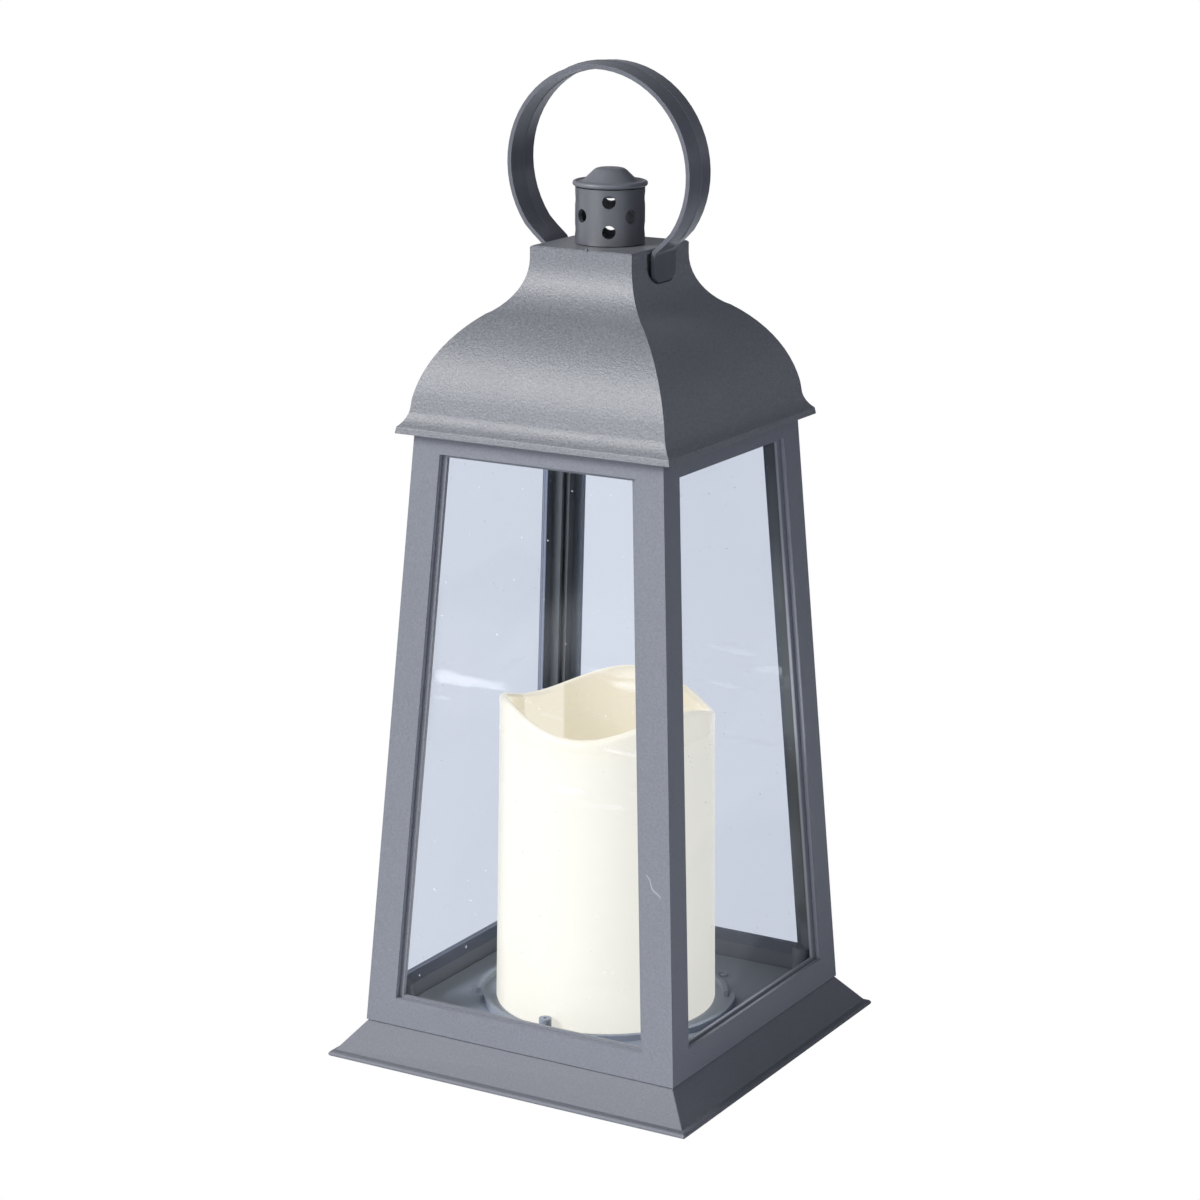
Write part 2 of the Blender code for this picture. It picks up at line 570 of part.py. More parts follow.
def ring_handle():
    """Crested flat band bent to a ring, with tabs and pegs; it turns about its pegs."""
    path = handle_path()
    section = [(-1, 0.0, 0.0), (0, BAND_CREST, 0.0), (1, 0.0, 0.0),
               (1, -BAND_THICKNESS, 0.0), (0, -BAND_THICKNESS - BAND_CREST, 0.0), (-1, -BAND_THICKNESS, 0.0)]
    shape = bmesh.new()
    rings = []
    for i, (x, z) in enumerate(path):
        before, after = path[max(i - 1, 0)], path[min(i + 1, len(path) - 1)]
        run_in = Vector((x - before[0], z - before[1])) if i else Vector((after[0] - x, after[1] - z))
        run_out = Vector((after[0] - x, after[1] - z)) if i < len(path) - 1 else run_in
        tangent = (run_in.normalized() + run_out.normalized()).normalized()
        stretch = 1 / max(tangent.dot(run_in.normalized()), 0.5)
        outward = Vector((tangent.y, -tangent.x)) * stretch
        on_tab = z < TAB_TOP_Z + 2 * MM
        ring = []
        for side, offset, _ in section:
            if on_tab:
                offset = 0.0 if offset > -BAND_THICKNESS / 2 else -BAND_THICKNESS
            ring.append(shape.verts.new((x + outward.x * offset, side * BAND_HALF_WIDTH, z + outward.y * offset)))
        rings.append(ring)
    for first, second in zip(rings, rings[1:]):
        for k in range(len(first)):
            j = (k + 1) % len(first)
            shape.faces.new((first[k], first[j], second[j], second[k]))
    shape.faces.new(rings[0])
    shape.faces.new(rings[-1])
    for vertex in shape.verts:
        vertex.co.z -= PIVOT_Z
    handle = from_bmesh("ring_handle", shape, HANDLE_GREY)
    handle.location.z = PIVOT_Z
    smooth(handle, 25)
    for sx in (1, -1):
        peg = rod(f"cutter_peg_{sx}", (sx * (TAB_FACE + 0.6 * MM), 0, PIVOT_Z),
                  (sx * (TAB_FACE - PEG_REACH), 0, PIVOT_Z), PEG_RADIUS)
        join(handle, peg)
        for sy in (1, -1):
            cut(handle, corner_cutter(f"cutter_tab_corner_{sx}_{sy}", sx, sy))
    handle = baked(handle)
    handle.rotation_euler.x = math.radians(RING_LEAN)
    return handle


def corner_cutter(name, sx, sy):
    """Trims one lower corner of a tab to a quarter round."""
    low_z, far = PIVOT_Z - TAB_DROP, BAND_HALF_WIDTH + MM
    centre = (BAND_HALF_WIDTH - TAB_CORNER, low_z + TAB_CORNER)
    outline = [(centre[0], low_z - MM), (far, low_z - MM), (far, centre[1]),
               *arc(centre, TAB_CORNER, 0, -90, 6)]
    return plate_cutter(name, [(sy * y, z) for y, z in outline], sx, TAB_FACE - 0.1 * MM, 5 * MM)


# ---------------------------------------------------------------- candle

def rim_wave(x, y):
    return RIM_WAVE * math.cos(3 * (math.atan2(y, x) - math.radians(RIM_WAVE_PEAK)))


def candle_shell():
    """Hollow shell with a rounded, wavy rim."""
    lip = arc(((CANDLE_RADIUS + CANDLE_INNER_RADIUS) / 2, CANDLE_RIM_Z - 1.6 * MM), 1.85 * MM, 170, 10, 4)
    outer = [(CANDLE_RADIUS, CANDLE_RIM_Z - 6 * MM), (CANDLE_RADIUS, CANDLE_FOOT_Z + MM),
             (CANDLE_RADIUS - 0.8 * MM, CANDLE_FOOT_Z)]
    inner = [(CANDLE_INNER_RADIUS, CANDLE_FOOT_Z), (CANDLE_INNER_RADIUS, CANDLE_RIM_Z - 6 * MM)]
    shell = baked(turned("candle_shell", lip + outer + inner, IVORY, steps=48, closed=True))
    for vertex in shell.data.vertices:
        if vertex.co.z > CANDLE_RIM_Z - 7 * MM:
            vertex.co.z += rim_wave(vertex.co.x, vertex.co.y)
    return smooth(shell)


def candle_well():
    """Inner floor of the candle with a skirt, a lamp opening and two board posts."""
    radius = CANDLE_INNER_RADIUS - GAP
    top = WELL_Z + WELL_THICKNESS
    profile = [(radius, top + 2 * MM), (radius, WELL_Z - 5 * MM), (radius - 1.4 * MM, WELL_Z - 5 * MM),
               (radius - 1.4 * MM, WELL_Z), (5.4 * MM, WELL_Z), (5.4 * MM, top), (radius - 2 * MM, top),
               (radius - 1.2 * MM, top + 2 * MM)]
    well = turned("candle_well", profile, IVORY, closed=True)
    for sx in (1, -1):
        join(well, rod(f"cutter_board_post_{sx}", (sx * 9.3 * MM, 0, WELL_Z + 0.5 * MM),
                       (sx * 9.3 * MM, 0, BOARD_Z + BOARD_THICKNESS + GAP), 1.5 * MM, segments=12))
    return well


def flame_tip():
    """Translucent flame-shaped diffuser with a flange under the well and a bore for the lamp."""
    flange_top = WELL_Z - GAP
    flame = [(0.0, FLAME_TOP_Z), (0.6 * MM, FLAME_TOP_Z - 0.9 * MM), (1.6 * MM, FLAME_TOP_Z - 3.4 * MM),
             (3.0 * MM, FLAME_TOP_Z - 6.4 * MM), (4.2 * MM, FLAME_TOP_Z - 9.6 * MM),
             (4.9 * MM, FLAME_TOP_Z - 13.0 * MM), (4.9 * MM, flange_top)]
    foot = [(6.8 * MM, flange_top), (6.8 * MM, flange_top - 1.2 * MM), (3.3 * MM, flange_top - 1.2 * MM),
            (3.3 * MM, 90.5 * MM), (2.2 * MM, 91.8 * MM), (0.0, 92.2 * MM)]
    return turned("flame_tip", flame + foot, FLAME, steps=20)


def led_lamp():
    """Round lamp with a flange and a domed end."""
    base = BOARD_Z + BOARD_THICKNESS + GAP
    dome = arc((0.0, base + 6 * MM), 2.5 * MM, 90, 0, 5)
    profile = dome + [(2.5 * MM, base + MM), (2.9 * MM, base + MM), (2.9 * MM, base), (0.0, base)]
    return turned("led_lamp", profile, LAMP, steps=16)


def led_board():
    return rod("led_board", (0, 0, BOARD_Z), (0, 0, BOARD_Z + BOARD_THICKNESS), BOARD_RADIUS, BOARD,
               segments=28)


# ---------------------------------------------------------------- battery tray and its contents

def battery_tray():
    """Round tray, flanged under the floor, with the battery bay below and two wells above."""
    tray = rod("battery_tray", (0, 0, FLANGE_BOTTOM_Z), (0, 0, TRAY_TOP_Z), TRAY_RADIUS, WHITE,
               segments=ROUND_STEPS)
    flange = rod("cutter_flange", (0, 0, FLANGE_BOTTOM_Z), (0, 0, FLANGE_TOP_Z), FLANGE_RADIUS,
                 segments=ROUND_STEPS)
    join(tray, flange)
    y_in, y_out = DOOR_HALF_WIDTH + GAP, DOOR_HALF_WIDTH + 2.2 * MM
    lip_low = DOOR_TOP_Z - DOOR_THICKNESS - GAP - 1.2 * MM
    stop_x = -DOOR_HALF_LENGTH - GAP
    join(tray, block("cutter_stop", (stop_x - 1.9 * MM, -y_out, lip_low),
                     (stop_x, y_out, FLANGE_BOTTOM_Z + 0.5 * MM)))
    for sy in (1, -1):
        join(tray, block(f"cutter_rail_{sy}", *sorted_corners(
            (stop_x - MM, sy * y_in, lip_low), (RAIL_END_X, sy * y_out, FLANGE_BOTTOM_Z + 0.5 * MM))))
        for i, x in enumerate(LIP_STARTS):
            join(tray, block(f"cutter_lip_{i}_{sy}", *sorted_corners(
                (x, sy * (y_in - LIP_WIDTH), lip_low),
                (x + LIP_LENGTH, sy * (y_in + 0.5 * MM), lip_low + 1.2 * MM))))
    bay = block("cutter_bay", (-BAY_HALF_LENGTH, -BAY_HALF_WIDTH, FLANGE_BOTTOM_Z - MM),
                (BAY_HALF_LENGTH, BAY_HALF_WIDTH, BAY_TOP_Z))
    hollow = rod("cutter_wells", (0, 0, FLANGE_TOP_Z), (0, 0, TRAY_TOP_Z + 5 * MM), TRAY_RADIUS - 1.6 * MM,
                 segments=ROUND_STEPS)
    keep = block("cutter_wells_keep", (-40 * MM, -BAY_HALF_WIDTH - 1.6 * MM, 0),
                 (40 * MM, BAY_HALF_WIDTH + 1.6 * MM, 40 * MM))
    cut(hollow, keep)
    slot = block("cutter_knob_slot", (-4.2 * MM, SWITCH_Y - 1.7 * MM, FLANGE_BOTTOM_Z - MM),
                 (4.2 * MM, SWITCH_Y + 1.7 * MM, FLANGE_TOP_Z + MM))
    holes = [rod(f"cutter_flange_hole_{turn}", polar(turn, BOSS_DISTANCE, 0),
                 polar(turn, BOSS_DISTANCE, 12 * MM), 1.4 * MM, segments=12) for turn in (0, 180)]
    return cut(tray, bay, hollow, slot, *holes)


def battery_cells():
    """Three cells side by side, the middle one turned round, with their springs and plates."""
    for i in range(3):
        heading = -1 if i % 2 == 0 else 1
        y = (i - 1) * CELL_PITCH
        half = CELL_LENGTH / 2
        nub = [(0.0, half), (1.7 * MM, half), (1.9 * MM, half - 0.2 * MM), (1.9 * MM, half - MM)]
        jacket = [(CELL_RADIUS - 0.5 * MM, half - MM), (CELL_RADIUS, half - 1.5 * MM),
                  (CELL_RADIUS, -half + 0.3 * MM), (CELL_RADIUS - 0.3 * MM, -half), (0.0, -half)]
        cell = turned(f"battery_cell_{i + 1}", nub + jacket, CELL, steps=18)
        cell.rotation_euler.y = math.radians(90 * heading)
        cell.location = (heading * CELL_SHIFT, y, CELL_Z)
        plate_x = heading * (CELL_SHIFT + half + GAP)
        block(f"contact_plate_{i + 1}", *sorted_corners(
            (plate_x, y - 4 * MM, CELL_Z - 4 * MM),
            (plate_x + heading * 0.5 * MM, y + 4 * MM, CELL_Z + 4 * MM)), NICKEL)
        spring_coil(f"contact_spring_{i + 1}", -heading, y)


def spring_coil(name, heading, y):
    """Conical contact spring between the cell's flat end and the bay's end wall."""
    near = CELL_LENGTH / 2 - CELL_SHIFT + 2 * GAP
    length = BAY_HALF_LENGTH - near - 2 * GAP
    turns, per_turn, wire = 3, 12, 0.25 * MM
    curve = bpy.data.curves.new(name, "CURVE")
    curve.dimensions = "3D"
    curve.bevel_depth = wire
    curve.bevel_resolution = 2
    curve.use_fill_caps = True
    spline = curve.splines.new("POLY")
    spline.points.add(turns * per_turn)
    for k in range(turns * per_turn + 1):
        share = k / (turns * per_turn)
        radius = (2.0 + 1.9 * share) * MM
        angle = 2 * math.pi * turns * share
        x = near + wire + (length - 2 * wire) * share
        spline.points[k].co = (heading * x, y + radius * math.cos(angle), CELL_Z + radius * math.sin(angle), 1)
    item = bpy.data.objects.new(name, curve)
    return place(item, NICKEL, False)


def battery_door():
    """Cover with finger ridges and two notches; it slides until the notches meet the tray's lips."""
    door = block("battery_door", (-DOOR_HALF_LENGTH, -DOOR_HALF_WIDTH, DOOR_TOP_Z - DOOR_THICKNESS),
                 (DOOR_HALF_LENGTH, DOOR_HALF_WIDTH, DOOR_TOP_Z), WHITE)
    for i in range(4):
        x = -18 * MM + i * 2.6 * MM
        join(door, block(f"cutter_ridge_{i}", (x, -9 * MM, DOOR_TOP_Z - DOOR_THICKNESS - 0.8 * MM),
                         (x + 1.2 * MM, 9 * MM, DOOR_TOP_Z - DOOR_THICKNESS + 0.4 * MM)))
    for sy in (1, -1):
        cut(door, block(f"cutter_notch_{sy}", *sorted_corners(
            (LIP_STARTS[1] - DOOR_TRAVEL - 0.5 * MM, sy * (DOOR_HALF_WIDTH - LIP_WIDTH - GAP), 0),
            (LIP_STARTS[1] + LIP_LENGTH - DOOR_TRAVEL + 0.5 * MM, sy * 30 * MM, 12 * MM))))
    return door


def slide_switch():
    """Switch body on the well's floor and its knob, which reaches down through the slot."""
    base = FLANGE_TOP_Z + GAP
    body = block("switch_body", (-5.5 * MM, SWITCH_Y - 2.8 * MM, base + 0.4 * MM),
                 (5.5 * MM, SWITCH_Y + 2.8 * MM, base + 5.4 * MM), BLACK)
    knob_top = base + 0.4 * MM - GAP
    knob = block("switch_knob", (-1.6 * MM, -1.3 * MM, FLANGE_BOTTOM_Z - 1.4 * MM),
                 (1.6 * MM, 1.3 * MM, knob_top), BLACK)
    knob.location = (KNOB_START_X, SWITCH_Y, 0)
    return body, knob


def lead(name, start, middle, end, material):
    """A short insulated lead along a smooth bow between two solder points."""
    curve = bpy.data.curves.new(name, "CURVE")
    curve.dimensions = "3D"
    curve.bevel_depth = 0.6 * MM
    curve.bevel_resolution = 2
    curve.use_fill_caps = True
    start, middle, end = Vector(start), Vector(middle), Vector(end)
    count = 16
    spline = curve.splines.new("POLY")
    spline.points.add(count)
    for k in range(count + 1):
        t = k / count
        point = start * (1 - t) ** 2 + middle * 2 * t * (1 - t) + end * t * t
        spline.points[k].co = (*point, 1)
    return place(bpy.data.objects.new(name, curve), material, False)


def leads():
    top, under = TRAY_TOP_Z + GAP, BOARD_Z - GAP
    lead("lead_red", (20 * MM, 4 * MM, top), (24 * MM, 10 * MM, 58 * MM), (4 * MM, 5 * MM, under), RED_LEAD)
    lead("lead_black", (20 * MM, -4 * MM, top), (26 * MM, -9 * MM, 54 * MM), (4 * MM, -5 * MM, under),
         BLACK_LEAD)


# ---------------------------------------------------------------- fasteners

def screw_up(name, x, y, head_top, tip_z, head_radius, shank_radius):
    """A pan-head screw driven upwards, with a cross recess in its head."""
    head_low = head_top - 1.5 * MM
    profile = [(0.0, tip_z), (0.3 * MM, tip_z), (shank_radius, tip_z - 1.4 * MM), (shank_radius, head_top),
               (head_radius, head_top), (head_radius, head_top - 0.6 * MM),
               (head_radius - 0.7 * MM, head_low), (0.0, head_low)]
    item = turned(name, profile, ZINC, steps=14, origin=(x, y, 0))
    arm = head_radius * 0.62
    for key, half_x, half_y in (("a", arm, 0.35 * MM), ("b", 0.35 * MM, arm)):
        tool = block(f"cutter_{name}_{key}", (x - half_x, y - half_y, head_low - MM),
                     (x + half_x, y + half_y, head_low + 0.9 * MM))
        cut(item, tool)
    return item


def screws():
    floor_under = FLOOR_Z - FLOOR_THICKNESS
    for i, turn in enumerate((0, 180)):
        at = polar(turn, BOSS_DISTANCE)
        screw_up(f"tray_screw_{i + 1}", at.x, at.y, FLANGE_BOTTOM_Z - GAP, 15.0 * MM, 2.6 * MM, 1.1 * MM)
    for i, (sx, sy) in enumerate(CORNERS):
        screw_up(f"base_screw_{i + 1}", sx * SCREW_POST_OFFSET, sy * SCREW_POST_OFFSET, floor_under - GAP,
                 21.5 * MM, 2.9 * MM, 1.2 * MM)


def build():
    base_skirt()
    body_frame()
    panes()
    roof()
    chimney_tube()
    chimney_cap()
    ring_handle()
    candle_shell()
    candle_well()
    flame_tip()
    led_lamp()
    led_board()
    battery_tray()
    battery_cells()
    battery_door()
    slide_switch()
    leads()
    screws()
    bpy.context.view_layer.update()


build()
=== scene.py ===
# %% [markdown]
# # A candle lantern
# A moulded grey lantern: a flared base, a tapered frame with four clear windows, a belled
# roof with a vented chimney and a ring handle, and an ivory battery candle on the floor.
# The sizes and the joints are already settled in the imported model. This lesson gives that
# model its rounded edges, its wax rim, its grained plastic and its light.

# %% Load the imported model
import json
import math

import bmesh
import bpy
from mathutils import Matrix, Vector


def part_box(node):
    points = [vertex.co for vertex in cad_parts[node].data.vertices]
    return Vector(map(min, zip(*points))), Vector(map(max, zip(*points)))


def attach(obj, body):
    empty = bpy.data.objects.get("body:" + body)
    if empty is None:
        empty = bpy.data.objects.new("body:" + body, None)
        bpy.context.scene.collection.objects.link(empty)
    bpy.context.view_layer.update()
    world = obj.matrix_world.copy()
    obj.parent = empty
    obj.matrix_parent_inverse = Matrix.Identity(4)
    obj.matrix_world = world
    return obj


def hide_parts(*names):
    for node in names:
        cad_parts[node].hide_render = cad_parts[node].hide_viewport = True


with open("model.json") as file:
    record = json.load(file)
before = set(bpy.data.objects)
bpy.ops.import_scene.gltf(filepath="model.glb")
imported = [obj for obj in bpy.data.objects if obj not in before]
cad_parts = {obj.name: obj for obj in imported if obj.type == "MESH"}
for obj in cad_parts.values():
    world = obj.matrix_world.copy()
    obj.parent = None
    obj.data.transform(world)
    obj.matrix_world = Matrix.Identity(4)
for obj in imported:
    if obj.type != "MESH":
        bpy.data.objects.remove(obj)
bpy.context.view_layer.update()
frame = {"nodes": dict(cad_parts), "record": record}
MM = 0.001

# %% [markdown]
# ## The camera
# A long lens looks down a little at the corner between the front and the right window.
# The lantern stands a little off the lens's own axis, so the film is shifted a little, and
# the camera is rolled by a third of a degree.

# %% Place the camera
TARGET, DISTANCE = Vector((0.0, 0.0, 0.175)), 1.10782
AZIMUTH, ELEVATION, ROLL = math.radians(29.939), math.radians(13.274), math.radians(0.317)
FOCAL_LENGTH, FILM_WIDTH = 99.22, 36.0
SHIFT_ACROSS, SHIFT_UP = -0.00687, -0.05110
NEAREST, FARTHEST = 0.05, 60.0

camera = bpy.data.objects.new("camera", bpy.data.cameras.new("camera"))
bpy.context.scene.collection.objects.link(camera)
bpy.context.scene.camera = camera
camera.data.lens, camera.data.sensor_width = FOCAL_LENGTH, FILM_WIDTH
camera.data.shift_x, camera.data.shift_y = SHIFT_ACROSS, SHIFT_UP
camera.data.clip_start, camera.data.clip_end = NEAREST, FARTHEST
towards = Vector((math.sin(AZIMUTH) * math.cos(ELEVATION), -math.cos(AZIMUTH) * math.cos(ELEVATION),
                  math.sin(ELEVATION)))
aim = towards.to_track_quat("Z", "Y").to_matrix().to_4x4()
camera.matrix_world = Matrix.Translation(TARGET + DISTANCE * towards) @ aim @ Matrix.Rotation(ROLL, 4, "Z")
print("camera height", round(camera.location.z, 3))

# %% [markdown]
# ## The studio
# A wide pale floor runs far behind the lantern, so that the windows look onto something
# plain. Soft suns light everything evenly at any distance, which lamps close by can't do.
# The key sun comes from the front left, well above the lantern, so that the roof shines
# where it leans back. A lower sun fills the upright fronts, and a weak one from the right
# lifts the shaded faces a little. The sky is bright on the left and low down, dim on the
# right and overhead, which keeps the right-hand faces and the tops in shade.

# %% Floor, suns and sky
FLOOR_RADIUS = 14.0

floor_shape = bmesh.new()
bmesh.ops.create_circle(floor_shape, cap_ends=True, segments=64, radius=FLOOR_RADIUS)
floor_mesh = bpy.data.meshes.new("floor")
floor_shape.to_mesh(floor_mesh)
floor_shape.free()
floor = bpy.data.objects.new("floor", floor_mesh)
bpy.context.scene.collection.objects.link(floor)


def soft_sun(name, direction, strength, spread, colour=(1.0, 1.0, 1.0)):
    """A sun that shines from a direction, with a wide disc for soft shadows."""
    lamp = bpy.data.lights.new(name, "SUN")
    lamp.energy, lamp.angle, lamp.color = strength, math.radians(spread), colour
    item = bpy.data.objects.new(name, lamp)
    item.rotation_euler = Vector(direction).to_track_quat("Z", "Y").to_euler()
    bpy.context.scene.collection.objects.link(item)
    return item


soft_sun("key_sun", (-0.50, -0.745, 0.52), 2.8, 22, (1.0, 0.995, 0.98))
soft_sun("low_sun", (-0.30, -0.95, 0.22), 1.0, 40, (1.0, 1.0, 1.0))
soft_sun("fill_sun", (0.90, -0.30, 0.25), 0.28, 60, (0.97, 0.98, 1.0))

# %% [markdown]
# ## Writing shaders as sums
# A grain or a stain is a little arithmetic on noises. The class below wraps a socket, so
# that `0.4 + 0.1 * noise` adds the Math nodes by itself. Every other node comes from one
# method, which takes the node's type, its settings and what goes into its sockets.

# %% A value and a finish
class Value:
    """A number or colour on its way through a node tree."""

    def __init__(self, finish, socket):
        self.finish, self.socket = finish, socket

    def math(self, operation, *others, clamp=False):
        """One Math node with this value first."""
        terms = {i: term for i, term in enumerate((self, *others))}
        return self.finish.add("ShaderNodeMath", {"operation": operation, "use_clamp": clamp}, terms)

    def __add__(self, other):
        return self.math("ADD", other)

    def __sub__(self, other):
        return self.math("SUBTRACT", other)

    def __rsub__(self, other):
        return self.finish.add("ShaderNodeMath", {"operation": "SUBTRACT"}, {0: other, 1: self})

    def __mul__(self, other):
        return self.math("MULTIPLY", other)

    def __pow__(self, other):
        return self.math("POWER", other)

    __radd__, __rmul__ = __add__, __mul__

    def between(self, low, high):
        """0 below low, 1 above high and a smooth step from one to the other."""
        return self.finish.add("ShaderNodeMapRange", {"interpolation_type": "SMOOTHSTEP"},
                               {"Value": self, "From Min": low, "From Max": high}, "Result")


class Finish:
    """A material, or the sky, whose nodes are being made."""

    def __init__(self, name, world=None):
        self.material = world or bpy.data.materials.new(name)
        self.material.use_nodes = True
        self.tree = self.material.node_tree
        self.tree.nodes.clear()

    def add(self, kind, settings=None, inputs=None, out=0):
        """A node with its settings and what goes into its sockets, as the value of one output."""
        node = self.tree.nodes.new(kind)
        for key, setting in (settings or {}).items():
            setattr(node, key, setting)
        for key, term in (inputs or {}).items():
            if isinstance(term, Value):
                self.tree.links.new(term.socket, node.inputs[key])
            else:
                node.inputs[key].default_value = term
        return Value(self, node.outputs[out])

    def position(self, scale=(1.0, 1.0, 1.0)):
        """The place of a point on the object, in metres, stretched by a scale."""
        place = self.add("ShaderNodeTexCoord", out="Object")
        return self.add("ShaderNodeMapping", inputs={"Vector": place, "Scale": scale})

    def axes(self, place=None):
        """The X, Y and Z of a place, as three values."""
        place = place or self.position()
        return [self.add("ShaderNodeSeparateXYZ", inputs={"Vector": place}, out=axis) for axis in "XYZ"]

    def noise(self, scale, detail=2.0, roughness=0.5, at=None):
        return self.add("ShaderNodeTexNoise", inputs={"Vector": at or self.position(), "Scale": scale,
                                                      "Detail": detail, "Roughness": roughness})

    def mixed(self, share, first, second):
        """A colour between two colours, by a share."""
        return self.add("ShaderNodeMix", {"data_type": "RGBA"}, {0: share, 6: first, 7: second}, 2)

    def bump(self, height, distance, strength=1.0):
        return self.add("ShaderNodeBump", inputs={"Height": height, "Distance": distance,
                                                  "Strength": strength})

    def surface(self, **inputs):
        """The usual shader, straight to the material's output."""
        sockets = {key.replace("_", " "): term for key, term in inputs.items()}
        shader = self.add("ShaderNodeBsdfPrincipled", inputs=sockets)
        return self.shown(shader)

    def shown(self, shader):
        """Puts a shader on the output, which finishes the material."""
        is_sky = isinstance(self.material, bpy.types.World)
        output = self.tree.nodes.new("ShaderNodeOutputWorld" if is_sky else "ShaderNodeOutputMaterial")
        self.tree.links.new(shader.socket, output.inputs["Surface"])
        return self.material


def rgb(red, green, blue):
    """A colour with its alpha."""
    return (red, green, blue, 1.0)


WHITE = rgb(1.0, 1.0, 1.0)


# %% [markdown]
# ## The sky and the paper
# The camera sees plain white behind and below the lantern. Every other ray sees the real
# sky and a pale paper, and the paper falls into shade far back on the right.

# %% The sky's colour and the floor's paper
SHADED_SIDE, BRIGHT_SIDE = rgb(0.158, 0.169, 0.203), rgb(0.49, 0.495, 0.52)
LOW_GLOW, OVERHEAD = rgb(0.85, 0.88, 0.95), rgb(0.11, 0.115, 0.13)
PAPER_TONES, PAPER_IN_SHADE = (rgb(0.84, 0.87, 0.93), rgb(0.87, 0.90, 0.96)), rgb(0.05, 0.055, 0.065)
SHADE_START, SHADE_END = 0.35, 1.1

world = bpy.data.worlds.new("studio")
bpy.context.scene.world = world
sky = Finish("studio", world)
across, depth, upward = sky.axes(sky.add("ShaderNodeTexCoord", out="Generated"))
side_light = sky.mixed((across * -0.5 + depth * -0.6).between(-0.90, 0.45), SHADED_SIDE, BRIGHT_SIDE)
low_light = sky.mixed(0.30, side_light, LOW_GLOW)
sky_light = sky.mixed(upward.between(0.02, 0.30), low_light, side_light)
sky_light = sky.mixed(upward.between(0.30, 0.95), sky_light, OVERHEAD)
unseen = sky.add("ShaderNodeBackground", inputs={"Color": sky_light, "Strength": 1.0})
seen = sky.add("ShaderNodeBackground", inputs={"Color": WHITE, "Strength": 1.0})
is_camera = sky.add("ShaderNodeLightPath", out="Is Camera Ray")
sky.shown(sky.add("ShaderNodeMixShader", inputs={0: is_camera, 1: unseen, 2: seen}))

paper = Finish("pale_floor")
place_x, place_y, _ = paper.axes()
away = place_x * 0.64 + place_y * 0.77
paper_tone = paper.mixed(paper.noise(3.0), *PAPER_TONES)
paper_tone = paper.mixed(away.between(SHADE_START, SHADE_END), paper_tone, PAPER_IN_SHADE)
lit_paper = paper.add("ShaderNodeBsdfPrincipled", inputs={
    "Base Color": paper_tone, "Roughness": 0.9, "Specular IOR Level": 0.1})
white_paper = paper.add("ShaderNodeEmission", inputs={"Color": WHITE, "Strength": 1.0})
is_camera = paper.add("ShaderNodeLightPath", out="Is Camera Ray")
floor.data.materials.append(paper.shown(paper.add("ShaderNodeMixShader", inputs={
    0: is_camera, 1: lit_paper, 2: white_paper})))
bpy.context.scene.view_settings.view_transform = "Standard"
print("studio ready")

# %% [markdown]
# ## Grained plastic
# The mould's steel was roughened by sparks, so the plastic has a fine even grain that
# glitters a little. Two noises finer than a millimetre give the grain, and two wide ones
# the faint clouds of a moulding. The grain drives colour, gloss and bump. The chimney and
# the ring are smoother: they have next to no grain, but faint upright runs in their grey.

# %% The grey mouldings
def grained_plastic(name, colour, rough=0.42, cloud=0.05, runs=0.0, depth=0.22 * MM, amount=1.6, shine=0.5,
                    inner=None):
    """Grey plastic with a grain of some depth and amount, clouds, and runs along Z."""
    finish = Finish(name)
    grain, fine = finish.noise(1250.0, 2.0, 0.6), finish.noise(2600.0, 1.0)
    clouds, wide = finish.noise(28.0, 3.0), finish.noise(9.0, 1.0)
    tone = (grain - 0.5) * amount + (clouds - 0.5) * cloud * 2.0 + (wide - 0.5) * cloud + 0.5
    if runs:
        upright = finish.noise(260.0, 3.0, 0.6, at=finish.position((1.0, 1.0, 0.03)))
        tone = tone + (upright - 0.5) * runs
    dark, light, bright = (tuple(min(1.0, channel * k) for channel in colour) for k in (0.66, 1.34, 1.9))
    body = finish.mixed(tone.math("ADD", 0.0, clamp=True), rgb(*dark), rgb(*light))
    body = finish.mixed(fine.between(0.60, 0.70) * 0.22 * amount, body, rgb(*bright))
    if inner:
        body = inner(finish, body)
    roughness = rough + (grain - 0.5) * (0.35 * min(amount, 1.0)) + (clouds - 0.5) * 0.08
    normal = finish.bump(grain * 0.65 + fine * 0.35, depth, 1.0)
    return finish.surface(Base_Color=body, Roughness=roughness, Normal=normal, Specular_IOR_Level=shine)


# The floor plate's grey is painted light on the base's floor inside the frame.
# The frame's faces lean in by FACE_LEAN for each unit of height. At the height of the ground
# they would stand FACE_FOOT from the middle.
PLATE_TOP, PLATE_PAINTED_LIGHT = 12.2 * MM, rgb(0.37, 0.41, 0.48)
FACE_LEAN, FACE_FOOT = 0.06345, 60.23 * MM
# The ledge grey and the inner rail grey are painted light, and the inner post grey is painted shade.
LEDGE_PAINTED_LIGHT, RAIL_INSIDE_PAINTED_LIGHT = rgb(0.34, 0.36, 0.42), rgb(0.175, 0.187, 0.215)
POST_INSIDE_PAINTED_SHADE = rgb(0.105, 0.117, 0.125)
SCRATCH_ACROSS, SCRATCH_START, SCRATCH_END = 89.2 * MM, -24.9 * MM, -16.2 * MM
SCRATCH_GREY, DIAGONAL = rgb(0.36, 0.38, 0.41), math.sqrt(0.5)


def floor_plate_painted_light(finish, body):
    """Painted light: the base's floor inside the frame is painted paler than its skirt."""
    height = finish.axes()[2]
    return finish.mixed(height.between(PLATE_TOP - 0.3 * MM, PLATE_TOP) * 0.9, body, PLATE_PAINTED_LIGHT)


